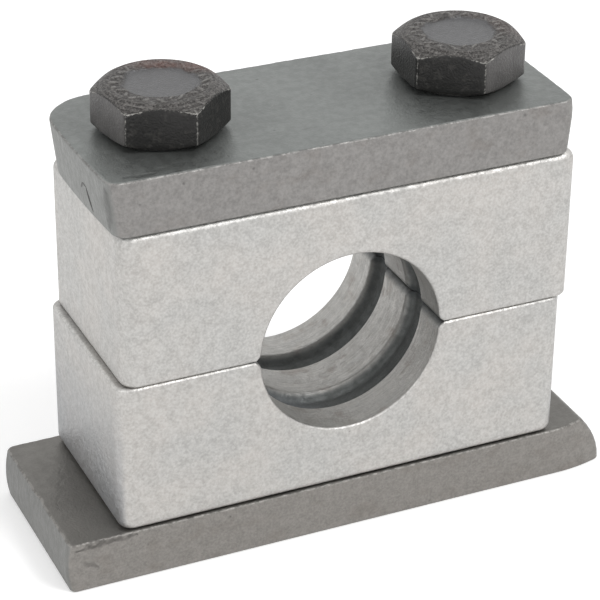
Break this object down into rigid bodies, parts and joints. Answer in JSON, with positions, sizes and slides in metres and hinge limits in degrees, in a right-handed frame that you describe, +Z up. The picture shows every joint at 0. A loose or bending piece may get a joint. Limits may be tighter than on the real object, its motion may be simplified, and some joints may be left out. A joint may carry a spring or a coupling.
{
  "type": "hydraulic tube clamp",
  "caption": "Split tube clamp: two cast jaws with a grooved bore, held between a weld plate and a cover plate by hexagon bolts.",
  "frame": {"origin": "centre of the weld plate's underside, which is welded down", "axes": "+X along the plates towards the sheared end that leans out, +Y along the tube, +Z up through the bolts towards their heads"},
  "size_m": [0.0876, 0.029, 0.0701],
  "materials": {
    "plate_steel": "bare hot-rolled bar, dull grey",
    "jaw_aluminium": "tumbled casting, matt and pale",
    "bolt_steel": "blackened, with worn edges"
  },
  "bodies": {
    "base": {"weld_plate": "plate_steel", "lower_jaw": "jaw_aluminium"},
    "top": {"upper_jaw": "jaw_aluminium", "cover_plate": "plate_steel"},
    "left_bolt": {"bolt_left": "bolt_steel"},
    "right_bolt": {"bolt_right": "bolt_steel"}
  },
  "joints": [
    {"name": "clamp_opening", "type": "slide", "parent": "base", "child": "top", "axis": [0, 0, 1], "range_m": [0, 0.0045]},
    {"name": "bolt_left_turn", "type": "hinge", "parent": "top", "child": "left_bolt", "pos_m": [-0.0229, 0, 0.0631], "axis": [0, 0, 1], "range_deg": [0, 1080]},
    {"name": "bolt_right_turn", "type": "hinge", "parent": "top", "child": "right_bolt", "pos_m": [0.0229, 0, 0.0631], "axis": [0, 0, 1], "range_deg": [0, 1080]}
  ],
  "couplings": [
    {"joint": "bolt_left_turn", "follows": "clamp_opening", "rad_per_m": 4188.8},
    {"joint": "bolt_right_turn", "follows": "clamp_opening", "rad_per_m": 4188.8}
  ]
}
